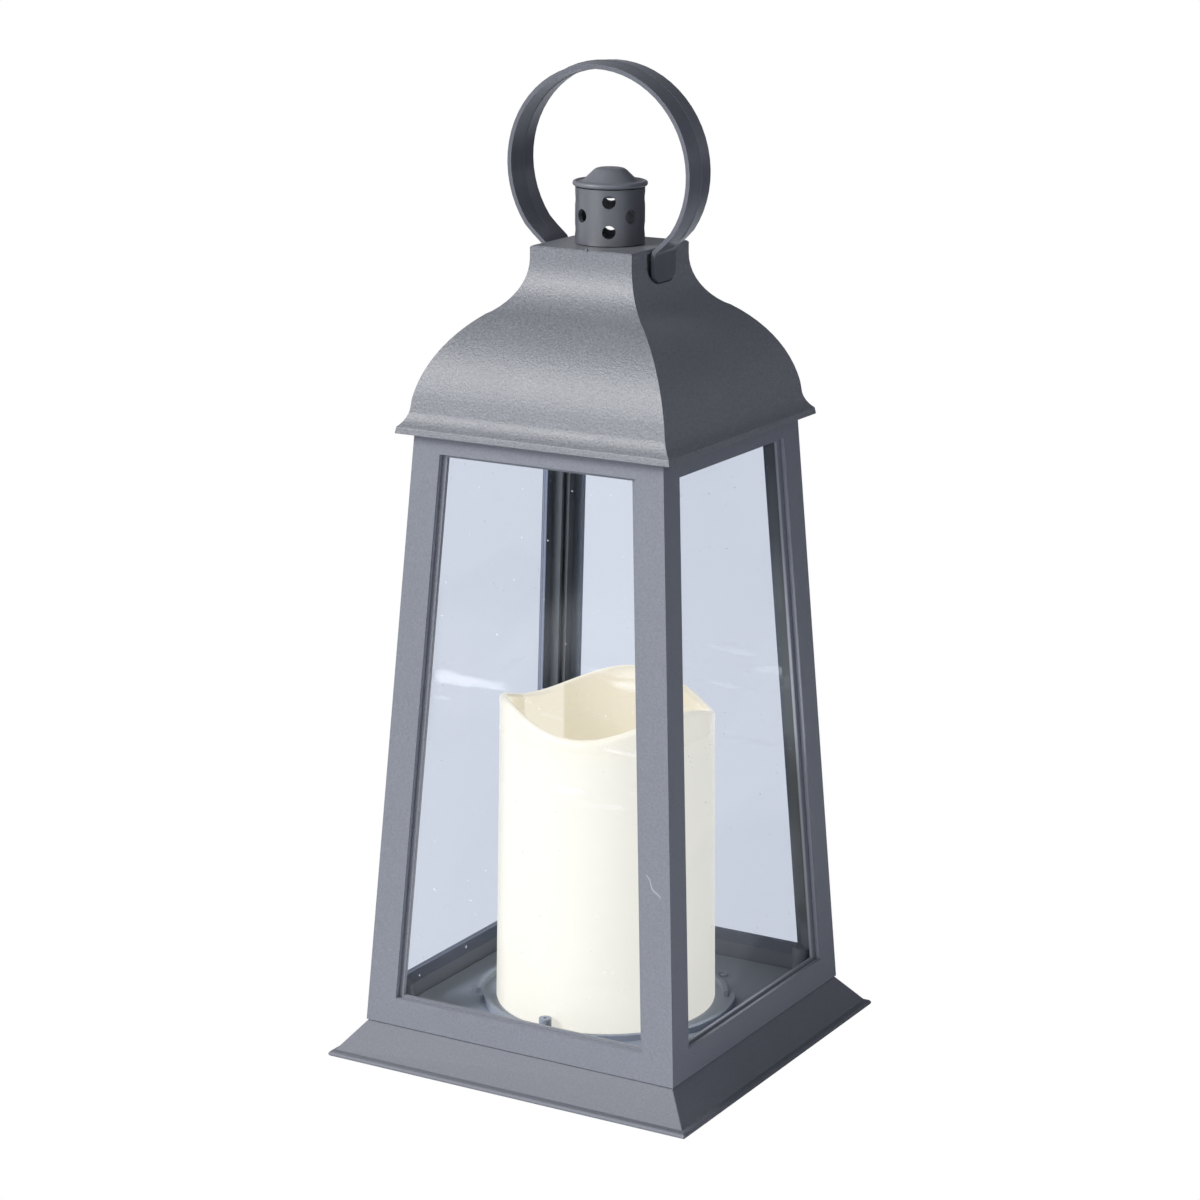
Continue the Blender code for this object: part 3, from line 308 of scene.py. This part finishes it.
def painted_frame_light_and_shade(finish, body):
    """Painted light on the frame's ledges and inner rail, and painted shade on its inner posts, by the
    depth under the sloping faces.
    """
    x, y, z = finish.axes()
    outermost = x.math("ABSOLUTE").math("MAXIMUM", y.math("ABSOLUTE"))
    depth = z * -FACE_LEAN + FACE_FOOT - outermost
    first_ledge = depth.between(0.2 * MM, 0.5 * MM) * (1.0 - depth.between(1.5 * MM, 1.8 * MM))
    second_ledge = depth.between(2.1 * MM, 2.4 * MM)
    body = finish.mixed((first_ledge + second_ledge) * 0.8, body, LEDGE_PAINTED_LIGHT)
    inside = finish.mixed(z.between(30 * MM, 36 * MM), RAIL_INSIDE_PAINTED_LIGHT, POST_INSIDE_PAINTED_SHADE)
    return finish.mixed(depth.between(2.8 * MM, 3.4 * MM), body, inside)


def scratch_and_painted_light_and_shade(finish, body):
    """The frame's grey with painted light and shade, and a hair-thin pale scratch aslant on the front of
    the right-hand post.
    """
    body = painted_frame_light_and_shade(finish, body)
    x, y, z = finish.axes()
    along, across = (x - z) * DIAGONAL, (x + z) * DIAGONAL
    bend = (finish.noise(160.0, 0.0) - 0.5) * (4 * MM)
    near_line = 1.0 - (across + bend - SCRATCH_ACROSS).math("ABSOLUTE").between(0.05 * MM, 0.28 * MM)
    begun, ended = (along.between(end, end + 1 * MM) for end in (SCRATCH_START, SCRATCH_END))
    on_front = (y * -1.0).between(50 * MM, 52 * MM)
    return finish.mixed(near_line * begun * (1.0 - ended) * on_front * 0.8, body, SCRATCH_GREY)


BASE_FINISH = grained_plastic("base_grey", (0.146, 0.154, 0.180), 0.62, depth=0.06 * MM, amount=0.7,
                              inner=floor_plate_painted_light)
FRAME_FINISH = grained_plastic("frame_grey", (0.160, 0.171, 0.202), 0.46, depth=0.06 * MM, amount=0.7,
                               inner=scratch_and_painted_light_and_shade)
ROOF_FINISH = grained_plastic("roof_grey", (0.158, 0.165, 0.186), 0.41)
CHIMNEY_FINISH = grained_plastic("chimney_grey", (0.088, 0.092, 0.108), 0.34, cloud=0.10, runs=0.60,
                                 depth=0.02 * MM, amount=0.08, shine=1.0)
CAP_FINISH = grained_plastic("cap_grey", (0.138, 0.144, 0.166), 0.42, depth=0.03 * MM, amount=0.2)
HANDLE_FINISH = grained_plastic("handle_grey", (0.112, 0.118, 0.140), 0.30, cloud=0.20, runs=0.45,
                                depth=0.01 * MM, amount=0.05)
print("grey finishes ready")

# %% [markdown]
# ## Clear windows
# Thin clear sheet hardly bends light, so the pane lets it straight through with a faint
# cool tint and mirrors more at a glancing angle. Specks of dust and the soft wisps left
# by wiping scatter light: there the sheet turns pale. Its shadow is next to nothing.

# %% The panes' finish
SHEET_TINT, OPEN_AIR = rgb(0.934, 0.951, 0.986), rgb(0.98, 0.98, 0.98)
CLEAN_SHEET, DUSTY_SHEET = rgb(0.02, 0.02, 0.02), rgb(0.86, 0.89, 0.93)

clear = Finish("clear_pane")
through = clear.add("ShaderNodeBsdfTransparent", inputs={"Color": SHEET_TINT})
wave = clear.noise(9.0, 1.0, at=clear.position((1.0, 1.0, 0.5)))
facing = clear.add("ShaderNodeLayerWeight", inputs={"Blend": 0.5}, out="Facing")
mirror_share = facing ** 5 * 0.8 + 0.04
specks = clear.noise(900.0, 0.0).between(0.86, 0.88)
level = clear.axes()[2]
wisps = clear.noise(1.0, 3.0, 0.55, at=clear.position((17.0, 17.0, 120.0))).between(0.60, 0.74)
wisps = wisps * level.between(88 * MM, 100 * MM) * (1.0 - level.between(135 * MM, 155 * MM))
drift = clear.noise(1.0, 1.0, 0.4, at=clear.position((9.0, 9.0, 15.0)))
haze = drift.between(0.48, 0.55) * (1.0 - drift.between(0.55, 0.75)) * 0.025
scatter = specks * 0.35 + wisps * 0.14 + haze
dustiness = (scatter * 14.0).math("MINIMUM", 1.0)
gloss = clear.add("ShaderNodeBsdfPrincipled", inputs={
    "Base Color": clear.mixed(dustiness, CLEAN_SHEET, DUSTY_SHEET), "Roughness": 0.06,
    "Specular IOR Level": 0.6, "Normal": clear.bump(wave, 4 * MM, 0.25)})
share = (mirror_share + scatter).math("MINIMUM", 1.0)
pane = clear.add("ShaderNodeMixShader", inputs={0: share, 1: through, 2: gloss})
open_air = clear.add("ShaderNodeBsdfTransparent", inputs={"Color": OPEN_AIR})
is_shadow = clear.add("ShaderNodeLightPath", out="Is Shadow Ray")
CLEAR_FINISH = clear.shown(clear.add("ShaderNodeMixShader", inputs={0: is_shadow, 1: pane, 2: open_air}))
print("clear finish ready")

# %% [markdown]
# ## Ivory shell, flame and small parts
# The candle's shell is a soft ivory plastic that light enters a little way, so it gets
# some subsurface light. Light that soaks right through the thin wall brightens its shaded
# side too, and a weak glow stands in for that, duller and streaked inside the cup. The
# outside is satin with faint clouds, and the rim is glossier, as a melted rim is.

# %% The candle's finish
CREAMS, RIM_CREAM = (rgb(0.40, 0.375, 0.31), rgb(0.44, 0.415, 0.35)), rgb(0.46, 0.42, 0.33)
WALL_GLOW, RIM_GLOW = rgb(1.0, 0.950, 0.805), rgb(1.0, 0.93, 0.75)
INNER_GLOWS, GLOW_STRENGTH = (rgb(0.73, 0.65, 0.48), rgb(0.95, 0.88, 0.71)), 0.78

ivory = Finish("ivory_shell")
polish = ivory.axes()[2].between(104 * MM, 113 * MM)
clouds = ivory.noise(22.0, 4.0, 0.55)
flecks = ivory.noise(700.0, 2.0)
cream = ivory.mixed(polish * 0.5, ivory.mixed(clouds, *CREAMS), RIM_CREAM)
flat_place = ivory.position((1.0, 1.0, 0.0))
from_axis = ivory.add("ShaderNodeVectorMath", {"operation": "LENGTH"}, {0: flat_place}, "Value")
streaks = ivory.noise(1.0, 1.0, at=ivory.position((55.0, 55.0, 3.0))).between(0.53, 0.57)
within = ivory.mixed(streaks, *INNER_GLOWS)
outside = ivory.mixed(polish * 0.6, WALL_GLOW, RIM_GLOW)
soaked = ivory.mixed(from_axis.between(33.8 * MM, 34.8 * MM), within, outside)
IVORY_FINISH = ivory.surface(
    Base_Color=cream, Roughness=0.44 - polish * 0.2 + (flecks - 0.5) * 0.1,
    Normal=ivory.bump(clouds * 0.8 + flecks * 0.05, 0.3 * MM, 0.5),
    Subsurface_Weight=0.3, Subsurface_Radius=(1.0, 0.75, 0.45), Subsurface_Scale=4 * MM,
    Emission_Color=soaked, Emission_Strength=GLOW_STRENGTH)


def plain_finish(name, colour, roughness, metallic=0.0, grain=900.0, depth=0.03 * MM):
    """A small part's finish, with a little unevenness in its colour and its gloss."""
    finish = Finish(name)
    texture, clouds = finish.noise(grain, 2.0), finish.noise(60.0, 2.0)
    shade = finish.mixed(texture * 0.5 + clouds * 0.5, rgb(*(c * 0.82 for c in colour)),
                         rgb(*(min(1.0, c * 1.16) for c in colour)))
    return finish.surface(Base_Color=shade, Roughness=roughness + (texture - 0.5) * 0.16,
                          Metallic=metallic, Normal=finish.bump(texture, depth, 0.6))


SMALL_FINISHES = {
    "flame_diffuser": plain_finish("flame_diffuser", (0.95, 0.74, 0.42), 0.35),
    "lamp_amber": plain_finish("lamp_amber", (0.95, 0.80, 0.50), 0.12, grain=200.0),
    "board_green": plain_finish("board_green", (0.04, 0.22, 0.10), 0.35),
    "white_moulding": plain_finish("white_moulding", (0.74, 0.73, 0.68), 0.5),
    "cell_jacket": plain_finish("cell_jacket", (0.08, 0.17, 0.32), 0.3, grain=300.0),
    "nickel": plain_finish("nickel", (0.72, 0.70, 0.66), 0.24, 1.0),
    "black_moulding": plain_finish("black_moulding", (0.030, 0.030, 0.034), 0.5),
    "zinc_screw": plain_finish("zinc_screw", (0.62, 0.62, 0.60), 0.34, 1.0),
    "red_lead": plain_finish("red_lead", (0.50, 0.03, 0.03), 0.4),
    "black_lead": plain_finish("black_lead", (0.025, 0.025, 0.028), 0.4)}
print("small finishes:", len(SMALL_FINISHES))

# %% [markdown]
# ## Softening the edges
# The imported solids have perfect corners, and no moulding has those. A copy of each
# visible solid is merged, its flat faces are joined, and its corners are bevelled by a
# few tenths of a millimetre. Each rounded corner then catches a thin line of light.

# %% Copy, merge and bevel
MERGE_DISTANCE, FLAT_ANGLE, CORNER_ANGLE = 0.004 * MM, math.radians(0.4), math.radians(32.0)
SLOTS = {part["node"]: part["material_slot"] for part in frame["record"]["subparts"]}
BODY_OF = {node: body for body, nodes in frame["record"]["behaviour"]["bodies"].items() for node in nodes}


def merged_copy(node):
    """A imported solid's shape with its triangles joined into flat faces."""
    shape = bmesh.new()
    shape.from_mesh(frame["nodes"][node].data)
    bmesh.ops.remove_doubles(shape, verts=shape.verts, dist=MERGE_DISTANCE)
    bmesh.ops.dissolve_limit(shape, angle_limit=FLAT_ANGLE, verts=shape.verts, edges=shape.edges)
    return shape


def soften(shape, width, segments=2, wanted=lambda edge: True):
    """Rounds the wanted edges at which the shape turns a corner."""
    corners = [edge for edge in shape.edges if len(edge.link_faces) == 2
               and edge.calc_face_angle(0.0) > CORNER_ANGLE and wanted(edge)]
    bmesh.ops.bevel(shape, geom=corners, offset=width, offset_type="OFFSET", segments=segments,
                    profile=0.5, affect="EDGES", clamp_overlap=True, material=-1)
    return len(corners)


UPRIGHT, WALL_TOLERANCE = 0.05, 0.06 * MM


def weighted_normals(shape, smooth_angle, crisp, round_wall):
    """One normal per face corner, averaged by area over the faces that meet it smoothly.

    Edges between crisp points stay sharp, and a round wall's normals point away from Z.
    """
    shape.normal_update()
    hard = {edge for edge in shape.edges if len(edge.link_faces) != 2
            or edge.calc_face_angle(0.0) > math.radians(smooth_angle)
            or (crisp and all(crisp(vertex.co) for vertex in edge.verts))}
    areas = {face: face.calc_area() for face in shape.faces}
    normals = []
    for face in shape.faces:
        on_wall = round_wall and abs(face.normal.z) < UPRIGHT and all(
            abs(math.hypot(*vertex.co.xy) - round_wall) < WALL_TOLERANCE for vertex in face.verts)
        for loop in face.loops:
            if on_wall:
                normals.append(Vector((loop.vert.co.x, loop.vert.co.y, 0.0)).normalized())
                continue
            reached, waiting = {face}, [loop]
            while waiting:
                corner = waiting.pop()
                for edge in (corner.edge, corner.link_loop_prev.edge):
                    for other in () if edge in hard else edge.link_loops:
                        if other.face not in reached:
                            reached.add(other.face)
                            waiting.append(other if other.vert == loop.vert else other.link_loop_next)
            normals.append(sum((f.normal * areas[f] for f in reached), Vector()).normalized())
    return normals


def make_piece(name, shape, nodes, finish, smooth_angle=38.0, crisp=None, round_wall=None):
    """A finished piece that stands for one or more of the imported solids."""
    normals = weighted_normals(shape, smooth_angle, crisp, round_wall)
    mesh = bpy.data.meshes.new(name)
    shape.to_mesh(mesh)
    shape.free()
    mesh.shade_smooth()
    mesh.normals_split_custom_set(normals)
    mesh.materials.clear()
    mesh.materials.append(finish)
    piece = bpy.data.objects.new(name, mesh)
    bpy.context.scene.collection.objects.link(piece)
    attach(piece, BODY_OF[nodes[0]])
    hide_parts(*nodes)
    return piece


# %% [markdown]
# ## What some mouldings have besides
# The ring has a fine raised line along its middle, the base is rounder down its four
# arrises, the roof's lip is finer than the rest of it, and a small nub from the mould is
# left on the roof's front top edge. The chimney's wall is shaded as a true round.

# %% Details and rounded edges of the mouldings
PIVOT, LEAN = Vector((0.0, 0.0, 266.0 * MM)), math.radians(2.5)
ABOVE_TABS, ON_LINE = 12 * MM, 0.05 * MM
LINE_WIDTH, LINE_RISE = 0.35 * MM, 0.22 * MM
ARRIS_FROM, ON_ARRIS, ARRIS_ROUND = 56 * MM, 0.1 * MM, 0.9 * MM
EAVES_TOP, EAVES_ROUND = 217 * MM, 0.20 * MM
NUB_PLACE, NUB_SIZE = (2.2 * MM, -19.0 * MM, 274.6 * MM), (0.5 * MM, 0.5 * MM, 1.3 * MM)
CHIMNEY_WALL = 11.5 * MM
WHITE_PLASTIC, BLACK_PLASTIC = SMALL_FINISHES["white_moulding"], SMALL_FINISHES["black_moulding"]
MOULDINGS = [
    ("base_skirt", 0.35 * MM, BASE_FINISH), ("body_frame", 0.35 * MM, FRAME_FINISH),
    ("roof", 0.40 * MM, ROOF_FINISH), ("chimney_tube", 0.18 * MM, CHIMNEY_FINISH),
    ("chimney_cap", 0.15 * MM, CAP_FINISH), ("ring_handle", 0.30 * MM, HANDLE_FINISH),
    ("battery_tray", 0.20 * MM, WHITE_PLASTIC), ("battery_door", 0.20 * MM, WHITE_PLASTIC),
    ("candle_well", 0.20 * MM, IVORY_FINISH), ("switch_knob", 0.15 * MM, BLACK_PLASTIC)]


def on_crest(point):
    """Whether a point lies on the middle line of the leaning ring."""
    upright = Matrix.Rotation(-LEAN, 3, "X") @ (point - PIVOT)
    return abs(upright.y) < ON_LINE and upright.z > ABOVE_TABS


def on_arris(edge):
    """Whether an edge runs down one of the four corners of the base."""
    ends = [vertex.co for vertex in edge.verts]
    return all(abs(abs(end.x) - abs(end.y)) < ON_ARRIS and abs(end.x) > ARRIS_FROM for end in ends)


def near_eaves(edge):
    """Whether an edge belongs to the thin lip at the roof's foot."""
    return all(vertex.co.z < EAVES_TOP for vertex in edge.verts)


def raise_crest(shape):
    """Turns the faint fold along the ring's middle into a fine raised line, outside and inside."""
    crest = [edge for edge in shape.edges if all(on_crest(vertex.co) for vertex in edge.verts)]
    bmesh.ops.bevel(shape, geom=crest, offset=LINE_WIDTH, offset_type="OFFSET", segments=2, profile=0.5,
                    affect="EDGES", clamp_overlap=True, material=-1)
    shape.normal_update()
    for vertex in shape.verts:
        if on_crest(vertex.co):
            vertex.co += vertex.normal * LINE_RISE


def add_nub(shape):
    """Adds the small nub that the mould left on the roof's front top edge."""
    place = Matrix.Translation(NUB_PLACE) @ Matrix.Diagonal((*NUB_SIZE, 1.0))
    bmesh.ops.create_cube(shape, size=1.0, matrix=place)


for node, width, finish in MOULDINGS:
    copy = merged_copy(node)
    if node == "base_skirt":
        soften(copy, ARRIS_ROUND, segments=3, wanted=on_arris)
    elif node == "roof":
        soften(copy, EAVES_ROUND, wanted=near_eaves)
    elif node == "ring_handle":
        raise_crest(copy)
    rounded = soften(copy, width)
    if node == "roof":
        add_nub(copy)
    piece = make_piece(f"{node}_moulding", copy, [node], finish,
                       crisp=on_crest if node == "ring_handle" else None,
                       round_wall=CHIMNEY_WALL if node == "chimney_tube" else None)
    print(piece.name, rounded, "edges rounded,", len(piece.data.polygons), "faces")

# %% [markdown]
# ## The candle's shell
# A real wax candle melts to a wavy rim. Here a section with a rounded lip is spun once
# round, and then its top is lifted and lowered three times on the way round. The wall
# leans in by a little over a millimetre towards the top.

# %% Spin the shell and wave its rim
FOOT, SHOULDER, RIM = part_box("candle_shell")[0][2], 113 * MM, 118.3 * MM
OUTER_FOOT, OUTER_TOP, INNER = 37.8 * MM, 36.5 * MM, 33.4 * MM
LIP_STRETCH, WALL_STEPS = 1.35, 9
WAVE, WAVES, CREST = 3.6 * MM, 3, math.radians(-17.0)
STILL_BELOW, FULL_ABOVE = 90 * MM, RIM - 2 * MM

section = [(INNER, height) for height in (FOOT, 60 * MM, 88 * MM, 100 * MM, 108 * MM)]
section += [(INNER + 0.1 * MM, SHOULDER)]
middle, lip = (INNER + OUTER_TOP) / 2 + 0.1 * MM, (OUTER_TOP - INNER) / 2
for turn in (math.radians(degrees) for degrees in range(10, 180, 16)):
    section.append((middle - lip * math.cos(turn), RIM - lip * LIP_STRETCH * (1.0 - math.sin(turn))))
for down in (step / WALL_STEPS for step in range(WALL_STEPS + 1)):
    section.append((OUTER_TOP + (OUTER_FOOT - OUTER_TOP) * down,
                    SHOULDER + (FOOT + 1.2 * MM - SHOULDER) * down))
section += [(OUTER_FOOT - 0.25 * MM, FOOT + 0.35 * MM), (OUTER_FOOT - 0.9 * MM, FOOT)]
shell = bmesh.new()
loop = [shell.verts.new((radius, 0.0, height)) for radius, height in section]
edges = [shell.edges.new(pair) for pair in zip(loop, loop[1:] + loop[:1])]
bmesh.ops.spin(shell, geom=loop + edges, cent=(0, 0, 0), axis=(0, 0, 1), angle=math.tau, steps=120,
               use_merge=True)
bmesh.ops.remove_doubles(shell, verts=shell.verts, dist=0.005 * MM)
bmesh.ops.recalc_face_normals(shell, faces=shell.faces)
for vertex in shell.verts:
    heading = math.atan2(vertex.co.y, vertex.co.x)
    rise = min(1.0, max(0.0, (vertex.co.z - STILL_BELOW) / (FULL_ABOVE - STILL_BELOW)))
    vertex.co.z += rise * rise * WAVE * math.cos(WAVES * (heading - CREST))
candle = make_piece("candle_shell_ivory", shell, ["candle_shell"], IVORY_FINISH, 60.0)
print(candle.name, len(candle.data.polygons), "faces")

# %% [markdown]
# ## Finishes for the solids that stay
# The panes, the flame, the screws and the parts inside already have the right shape.
# They only need their finish, which each takes by the name of its material slot.

# %% Dress the remaining solids
for node, item in frame["nodes"].items():
    slot = SLOTS[node]
    finish = {"clear_pane": CLEAR_FINISH, "ivory_shell": IVORY_FINISH}.get(slot) or SMALL_FINISHES.get(slot)
    if finish:
        item.data.materials.clear()
        item.data.materials.append(finish)
print("dressed", len(frame["nodes"]), "solids")
